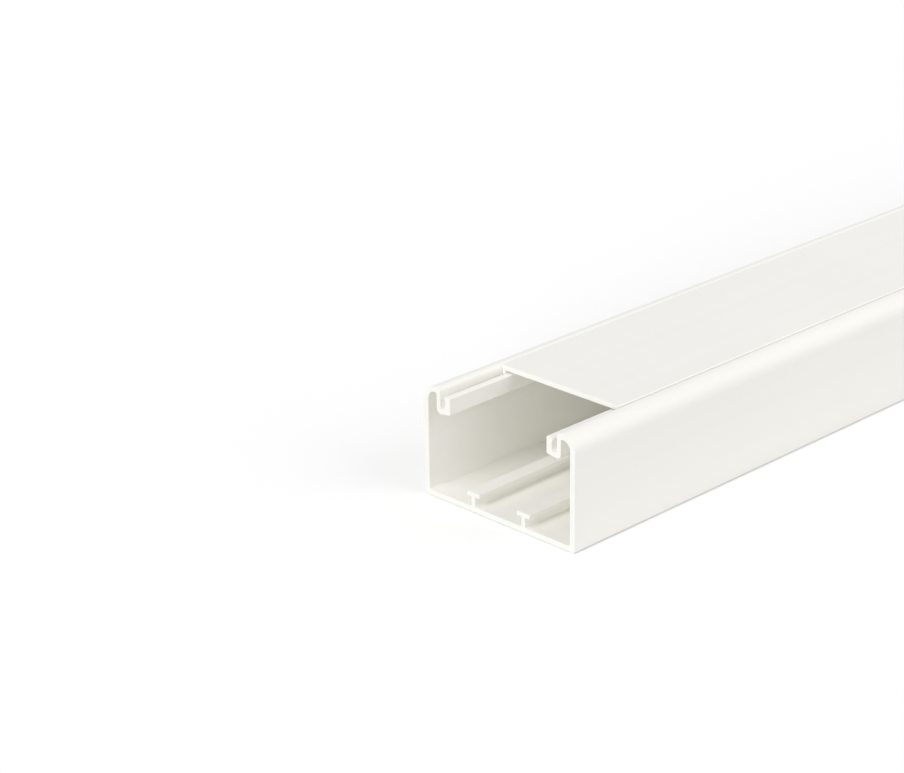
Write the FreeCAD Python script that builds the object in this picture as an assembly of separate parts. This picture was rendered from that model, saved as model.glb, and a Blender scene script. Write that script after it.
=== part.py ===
import FreeCAD, Part
import math
import os

# A length of snap-lid cable trunking, in millimetres. Both pieces are straight PVC-U extrusions.
# X runs across the channel, Y along it with the open display end at -Y, and Z up from the wall side.
# The origin is the middle of the flat back of the base.

# Stock sizes
stock_length = 2000.0
channel_width = 85.0
closed_height = 50.0

# Base channel
wall = 2.6
floor = 2.5
foot_radius = 0.8
inner_radius = 0.8
shoulder_radius = 7.5
crest_radius = 2.2
arch_radius = 3.9
arch_corner = 1.1
rail_depth = 11.8
rail_rise = 1.1
rail_lip = 2.8
rail_floor = 2.2
bend_radius = 2.2
heel_radius = 0.5
groove_radius = 0.6
tip_radius = 0.6

# T-shaped ribs on the floor, which a clip-in partition or cable retainer grips
rib_spacing = 28.5
rib_height = 6.4
rib_stem = 2.0
rib_cap_width = 7.2
rib_cap = 2.0
rib_root_radius = 0.4
rib_edge_radius = 0.4

# Snap lid
lid_plate = 2.2
lid_edge_inset = 9.5
lid_edge_radius = 0.7
lid_leg = 1.7
lid_leg_drop = 6.2
lid_setback = 36.5

# Snap fit between lid and rails
clearance = 0.25
tip_gap = 1.0
catch = 0.6
catch_height = 1.8
catch_radius = 0.3

# Heights that both pieces share
crest_z = closed_height - crest_radius
plate_under = closed_height - lid_plate

# Places across the right half that both pieces share
half_width = channel_width / 2
crest_x = half_width - shoulder_radius
groove_outer = crest_x - crest_radius
groove_inner = groove_outer - (2 * clearance + lid_leg + catch)


def corner_arc(before, here, after, radius):
    """Start, middle and end of the arc that rounds one corner, tangent to both of its sides."""
    back = (before - here).normalize()
    ahead = (after - here).normalize()
    half_turn = (math.pi - back.getAngle(ahead)) / 2
    reach = radius * math.tan(half_turn)
    sagitta = radius / math.cos(half_turn) - radius
    inward = (back + ahead).normalize()
    return here + back * reach, here + inward * sagitta, here + ahead * reach


def rounded_outline(corners):
    """Closed outline in the XZ plane from corners of (x, z, radius), in order around it."""
    points = [FreeCAD.Vector(x, 0, z) for x, z, radius in corners]
    arcs = []
    for i, (x, z, radius) in enumerate(corners):
        following = points[(i + 1) % len(points)]
        arcs.append(corner_arc(points[i - 1], points[i], following, radius))
    edges = []
    for i, (start, middle, end) in enumerate(arcs):
        if start.distanceToPoint(end) > 1e-6:
            edges.append(Part.Arc(start, middle, end).toShape())
        next_start = arcs[(i + 1) % len(arcs)][0]
        if end.distanceToPoint(next_start) > 1e-6:
            edges.append(Part.LineSegment(end, next_start).toShape())
    return Part.Wire(edges)


def both_halves(right_half):
    """The right half's corners and their mirror images, as one closed round."""
    left_half = [(-x, z, radius) for x, z, radius in reversed(right_half)]
    return right_half + left_half


def extrusion(corners, front):
    """Solid of the stock length with this section, from its front end towards +Y."""
    section = Part.Face(rounded_outline(corners))
    section.translate(FreeCAD.Vector(0, front, 0))
    return section.extrude(FreeCAD.Vector(0, stock_length, 0))


def rail_corners():
    """Outer wall, round shoulder, hollow arch and the J-shaped rail that the lid snaps into."""
    rail_under = closed_height - rail_depth
    tip_under = rail_under + rail_rise
    groove_floor = rail_under + rail_rise / 2 + rail_floor
    tip_top = plate_under - tip_gap
    tip_inner = groove_inner - rail_lip
    arch_top = closed_height - wall
    leg_inner = half_width - wall - arch_radius - arch_corner
    return [
        (half_width, 0, foot_radius),
        (half_width, closed_height, shoulder_radius),
        (groove_outer, closed_height, crest_radius),
        (groove_outer, groove_floor, groove_radius),
        (groove_inner, groove_floor, groove_radius),
        (groove_inner, tip_top - catch_height, 0),
        (groove_inner + catch, tip_top - catch_height / 2, catch_radius),
        (groove_inner, tip_top, 0),
        (tip_inner, tip_top, tip_radius),
        (tip_inner, tip_under, heel_radius),
        (leg_inner, rail_under, bend_radius),
        (leg_inner, arch_top, arch_corner),
        (half_width - wall, arch_top, arch_radius),
        (half_width - wall, floor, inner_radius),
    ]


def rib_corners():
    """One T-shaped rib, from its outer foot over the cap to its inner foot."""
    middle = rib_spacing / 2
    top = floor + rib_height
    under = top - rib_cap
    return [
        (middle + rib_stem / 2, floor, rib_root_radius),
        (middle + rib_stem / 2, under, 0),
        (middle + rib_cap_width / 2, under, rib_edge_radius),
        (middle + rib_cap_width / 2, top, rib_edge_radius),
        (middle - rib_cap_width / 2, top, rib_edge_radius),
        (middle - rib_cap_width / 2, under, rib_edge_radius),
        (middle - rib_stem / 2, under, 0),
        (middle - rib_stem / 2, floor, rib_root_radius),
    ]


def lid_corners():
    """Flat plate with a short rounded edge beside the crest, and the leg with its snap bead."""
    relief = crest_radius + clearance
    edge = half_width - lid_edge_inset
    edge_under = crest_z + math.sqrt(relief**2 - (crest_x - edge)**2)
    leg_outer = groove_outer - clearance
    leg_inner = leg_outer - lid_leg
    foot = closed_height - lid_leg_drop
    # The tangents at the two ends of the relief arc meet at this height, straight above the leg
    tangent_slope = (crest_x - edge) / (edge_under - crest_z)
    tangents_meet = edge_under - (edge - leg_outer) * tangent_slope
    return [
        (edge, closed_height, lid_edge_radius),
        (edge, edge_under, 0),
        (leg_outer, tangents_meet, relief),
        (leg_outer, foot, catch_radius),
        (leg_inner, foot, 0),
        (leg_inner - catch, foot + catch_height / 2, catch_radius),
        (leg_inner, foot + catch_height, 0),
        (leg_inner, plate_under, 0),
    ]


def base():
    """Open channel that is fixed to the wall."""
    return extrusion(both_halves(rail_corners() + rib_corners()), -stock_length / 2)


def lid():
    """Snap lid of the same length, drawn back from the base's front end."""
    return extrusion(both_halves(lid_corners()), lid_setback - stock_length / 2)


os.makedirs("parts", exist_ok=True)
base().exportStep("parts/trunking_base.step")
lid().exportStep("parts/trunking_lid.step")
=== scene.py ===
import math

import bpy
from mathutils import Matrix, Vector

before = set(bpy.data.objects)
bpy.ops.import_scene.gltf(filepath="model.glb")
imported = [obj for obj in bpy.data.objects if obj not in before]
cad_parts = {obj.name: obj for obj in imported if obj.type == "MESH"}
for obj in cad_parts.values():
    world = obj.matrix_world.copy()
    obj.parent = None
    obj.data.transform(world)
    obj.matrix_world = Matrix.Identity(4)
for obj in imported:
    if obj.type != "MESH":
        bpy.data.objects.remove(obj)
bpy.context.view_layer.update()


# Base channel.
# Rigid PVC-U, extruded through a steel die, calibrated in a cold sleeve and sawn to length. Its walls,
# J-shaped rails and floor ribs are one section. It is screwed or glued to the wall by its flat back.

def linear(hex_colour):
    """sRGB hex colour as linear RGBA.

    Each channel c becomes ((c + 0.055) / 1.055) ^ 2.4, or c / 12.92 up to 0.04045.
    """
    channels = [int(hex_colour[i:i + 2], 16) / 255 for i in (1, 3, 5)]
    return [c / 12.92 if c <= 0.04045 else ((c + 0.055) / 1.055) ** 2.4 for c in channels] + [1.0]


def add_node(tree, kind, sockets=None, **settings):
    """Adds a shader node with its settings. A socket is given a plain value, or an output to link to it.

    Sockets that share a name go by their number. In a Mix node 0 is the factor, 2 and 3 are the plain
    numbers to mix, and 6 and 7 the colours.
    """
    node = tree.nodes.new("ShaderNode" + kind)
    for name, value in settings.items():
        setattr(node, name, value)
    for name, value in (sockets or {}).items():
        if isinstance(value, bpy.types.NodeSocket):
            tree.links.new(value, node.inputs[name])
        else:
            node.inputs[name].default_value = value
    return node


def new_material(name):
    """An empty material of this name, its node tree and its output node."""
    material = bpy.data.materials.new(name)
    material.use_nodes = True
    tree = material.node_tree
    tree.nodes.clear()
    return material, tree, add_node(tree, "OutputMaterial")


def extruded_pvc(name, die_offset):
    """Rigid PVC-U, white with titanium dioxide.

    Its skin is satin. Scratches in the die's land leave faint lines all along the stock, and the drawing
    leaves the faces very slightly uneven. A sawn end is matt, with the arcs of the saw's teeth; its colour
    is written greyer than the skin as painted shade, which holds back the front lamps that strike the ends.
    The offset, in metres, takes the lines and bands from another part of their noise.
    """
    skin_white = linear("#F6F5F0")
    streak_white = linear("#F4F3EE")
    # The sawn ends are written greyer than the skin: painted shade against the front lamps that strike them
    sawn_white_painted_shade = linear("#E5E5E0")
    material, tree, output = new_material(name)

    # Lines and bands are this many times as long as wide
    drawn_out = 250
    place = add_node(tree, "TexCoord")
    across = add_node(tree, "Mapping", {
        "Vector": place.outputs["Object"], "Location": die_offset, "Scale": (1, 1 / drawn_out, 1)})

    # Die lines up to 1.4 mm wide
    die_line_width = 0.0014
    fine_lines = add_node(tree, "TexNoise", {
        "Vector": across.outputs["Vector"], "Scale": 1 / die_line_width, "Detail": 3, "Roughness": 0.6})

    # Bands of the melt, about 8 mm wide, differ a little in shade
    band_width = 0.008
    bands = add_node(tree, "TexNoise", {
        "Vector": across.outputs["Vector"], "Scale": 1 / band_width, "Detail": 2, "Roughness": 0.5})

    # Uneven cooling: soft clouds some 60 mm across
    cloud_width = 0.06
    clouds = add_node(tree, "TexNoise", {
        "Vector": place.outputs["Object"], "Scale": 1 / cloud_width, "Detail": 2, "Roughness": 0.4})

    # The product of both noises mostly lies between these two values
    least_shade = 0.15
    most_shade = 0.38
    shade = add_node(tree, "Math", {
        0: bands.outputs["Fac"], 1: clouds.outputs["Fac"]}, operation="MULTIPLY")
    shade_range = add_node(tree, "MapRange", {
        "Value": shade.outputs["Value"], "From Min": least_shade, "From Max": most_shade})
    skin = add_node(tree, "Mix", {
        0: shade_range.outputs["Result"], 6: skin_white, 7: streak_white}, data_type="RGBA")

    # The ends are the only faces that look along the stock
    end_cosine = 0.7
    facing = add_node(tree, "SeparateXYZ", {"Vector": place.outputs["Normal"]})
    along = add_node(tree, "Math", {0: facing.outputs["Y"]}, operation="ABSOLUTE")
    is_cut = add_node(tree, "Math", {0: along.outputs["Value"], 1: end_cosine}, operation="GREATER_THAN")

    # The saw's teeth leave arcs about 0.9 mm apart, around a centre below the stock and left of its middle.
    # A ring pattern of scale 1 repeats every tau / 20.
    tooth_pitch = 0.0009
    saw_centre_x = -0.04
    saw_centre_z = -0.11
    blade = add_node(tree, "Mapping", {
        "Vector": place.outputs["Object"], "Location": (-saw_centre_x, 0, -saw_centre_z)})
    arcs = add_node(tree, "TexWave", {
        "Vector": blade.outputs["Vector"], "Scale": math.tau / 20 / tooth_pitch, "Distortion": 1.2,
        "Detail": 2, "Detail Scale": 1.5}, wave_type="RINGS", rings_direction="Y")

    # Torn grit of up to 0.8 mm breaks the arcs up
    grit_size = 0.0008
    grit = add_node(tree, "TexNoise", {
        "Vector": place.outputs["Object"], "Scale": 1 / grit_size, "Detail": 2})
    saw_marks = add_node(tree, "Math", {
        0: arcs.outputs["Fac"], 1: grit.outputs["Fac"]}, operation="MULTIPLY")
    cut = add_node(tree, "Mix", {
        0: saw_marks.outputs["Value"], 6: sawn_white_painted_shade, 7: skin_white}, data_type="RGBA")
    colour = add_node(tree, "Mix", {
        0: is_cut.outputs["Value"], 6: skin.outputs[2], 7: cut.outputs[2]}, data_type="RGBA")

    smoothest_skin = 0.34
    roughest_skin = 0.46
    sawn_roughness = 0.72
    gloss = add_node(tree, "MapRange", {
        "Value": bands.outputs["Fac"], "To Min": smoothest_skin, "To Max": roughest_skin})
    roughness = add_node(tree, "Mix", {
        0: is_cut.outputs["Value"], 2: gloss.outputs["Result"], 3: sawn_roughness}, data_type="FLOAT")

    line_depth = 0.000006
    cloud_depth = 0.00006
    saw_depth = 0.00005
    line_height = add_node(tree, "Math", {
        0: fine_lines.outputs["Fac"], 1: line_depth}, operation="MULTIPLY")
    skin_height = add_node(tree, "Math", {
        0: clouds.outputs["Fac"], 1: cloud_depth, 2: line_height.outputs["Value"]},
        operation="MULTIPLY_ADD")
    saw_height = add_node(tree, "Math", {
        0: saw_marks.outputs["Value"], 1: saw_depth}, operation="MULTIPLY")
    height = add_node(tree, "Mix", {
        0: is_cut.outputs["Value"], 2: skin_height.outputs["Value"], 3: saw_height.outputs["Value"]},
        data_type="FLOAT")
    bump = add_node(tree, "Bump", {"Height": height.outputs[0], "Strength": 1.0, "Distance": 1.0})

    pvc_refraction = 1.53
    surface = add_node(tree, "BsdfPrincipled", {
        "Base Color": colour.outputs[2], "Roughness": roughness.outputs[0], "IOR": pvc_refraction,
        "Normal": bump.outputs["Normal"]})
    tree.links.new(surface.outputs["BSDF"], output.inputs["Surface"])
    return material


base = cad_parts["trunking_base"]
base_pvc = extruded_pvc("extruded_white_pvc_base", die_offset=(0.0, 0.0, 0.0))
for material_slot in base.material_slots:
    material_slot.material = base_pvc


# Snap lid.
# A second PVC-U extrusion: a flat plate with a leg along each side whose bead snaps behind the rail. It
# comes from another die than the base, so its lines lie elsewhere. Here it is drawn back from the front.

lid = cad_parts["trunking_lid"]
lid_pvc = extruded_pvc("extruded_white_pvc_lid", die_offset=(3.7, 1.3, 5.1))
for material_slot in lid.material_slots:
    material_slot.material = lid_pvc


# Floor.
# White paper that the stock lies on. No such length is dead flat, so the paper is set 0.4 mm under it,
# which leaves the fine dark line along the stock's foot.

def seen_or_mirrored(tree):
    """1 for rays that come from the camera or from a glossy face, and 0 for all others."""
    ray = add_node(tree, "LightPath")
    either = add_node(tree, "Math", {
        0: ray.outputs["Is Camera Ray"], 1: ray.outputs["Is Glossy Ray"]}, operation="MAXIMUM")
    return either.outputs["Value"]


floor_half = 6.0
paper_gap = 0.0004
floor_mesh = bpy.data.meshes.new("paper_sweep")
floor_mesh.from_pydata(
    [(-floor_half, -floor_half, 0), (floor_half, -floor_half, 0), (floor_half, floor_half, 0),
     (-floor_half, floor_half, 0)], [], [(0, 1, 2, 3)])
floor_sheet = bpy.data.objects.new("paper_sweep", floor_mesh)
floor_sheet.location.z = -paper_gap
bpy.context.scene.collection.objects.link(floor_sheet)

# The eye and the gloss see the paper bleached to white, while the stock gets its softer light back
paper, tree, output = new_material("white_paper_sweep")
white = linear("#FFFFFF")
paper_lit = add_node(tree, "BsdfDiffuse", {"Color": linear("#DEDEDE")})
paper_bleached = add_node(tree, "BsdfDiffuse", {"Color": white})
paper_glow = add_node(tree, "Emission", {"Color": white, "Strength": 0.075})
paper_white = add_node(tree, "AddShader", {
    0: paper_bleached.outputs["BSDF"], 1: paper_glow.outputs["Emission"]})
paper_surface = add_node(tree, "MixShader", {
    0: seen_or_mirrored(tree), 1: paper_lit.outputs["BSDF"], 2: paper_white.outputs["Shader"]})
tree.links.new(paper_surface.outputs["Shader"], output.inputs["Surface"])
floor_mesh.materials.append(paper)


# Light.
# A white room lights every side evenly. A low lamp beside the camera shines deep into the channel, one
# stands before the open end, one hangs above the front, and the last lights the long side from the right.

world = bpy.data.worlds.new("white_room")
bpy.context.scene.world = world
world.use_nodes = True
tree = world.node_tree
tree.nodes.clear()
room_light = add_node(tree, "Background", {"Color": white, "Strength": 0.37})
room_seen = add_node(tree, "Background", {"Color": white, "Strength": 1.0})
room = add_node(tree, "MixShader", {
    0: seen_or_mirrored(tree), 1: room_light.outputs["Background"], 2: room_seen.outputs["Background"]})
add_node(tree, "OutputWorld", {"Surface": room.outputs["Shader"]})

for lamp_name, energy, spread, stands_towards in (
        ("soft_lamp_low_by_camera", 1.12, 20, (0.45, -0.87, 0.18)),
        ("soft_lamp_before_front", 0.82, 20, (0.0, -0.85, 0.53)),
        ("soft_lamp_overhead", 0.86, 40, (0.0, -0.45, 0.90)),
        ("soft_lamp_from_right", 0.70, 50, (0.80, 0.30, 0.52))):
    lamp_data = bpy.data.lights.new(lamp_name, "SUN")
    lamp_data.energy = energy
    lamp_data.angle = math.radians(spread)
    lamp = bpy.data.objects.new(lamp_name, lamp_data)
    lamp.rotation_euler = Vector(stands_towards).to_track_quat("Z", "Y").to_euler()
    # The satin skin mirrors the white room alone; the lamps are large soft ones that leave no glints
    lamp.visible_glossy = False
    bpy.context.scene.collection.objects.link(lamp)


# Camera.
# It stands 676 mm in front of the open end, 665 mm to the right and 448 mm up, with a short telephoto lens.
# It looks to the left and down, and leans by less than a degree.

camera_place = (0.665278, -1.675894, 0.448252)
turn_left = 0.79649
look_down = 0.38838
lean = -0.01462
camera_data = bpy.data.cameras.new("camera")
camera_data.sensor_width = 36.0
camera_data.lens = 102.031
camera_data.clip_start = 0.01
camera_data.clip_end = 50.0
camera = bpy.data.objects.new("camera", camera_data)
camera.matrix_world = (
    Matrix.Translation(camera_place)
    @ Matrix.Rotation(turn_left, 4, "Z")
    @ Matrix.Rotation(math.pi / 2 - look_down, 4, "X")
    @ Matrix.Rotation(lean, 4, "Z"))
bpy.context.scene.collection.objects.link(camera)
bpy.context.scene.camera = camera

scene = bpy.context.scene
scene.view_settings.view_transform = "Standard"
# The nearly closed white channel hands light on from wall to wall a dozen times
scene.cycles.max_bounces = 16
scene.cycles.diffuse_bounces = 12
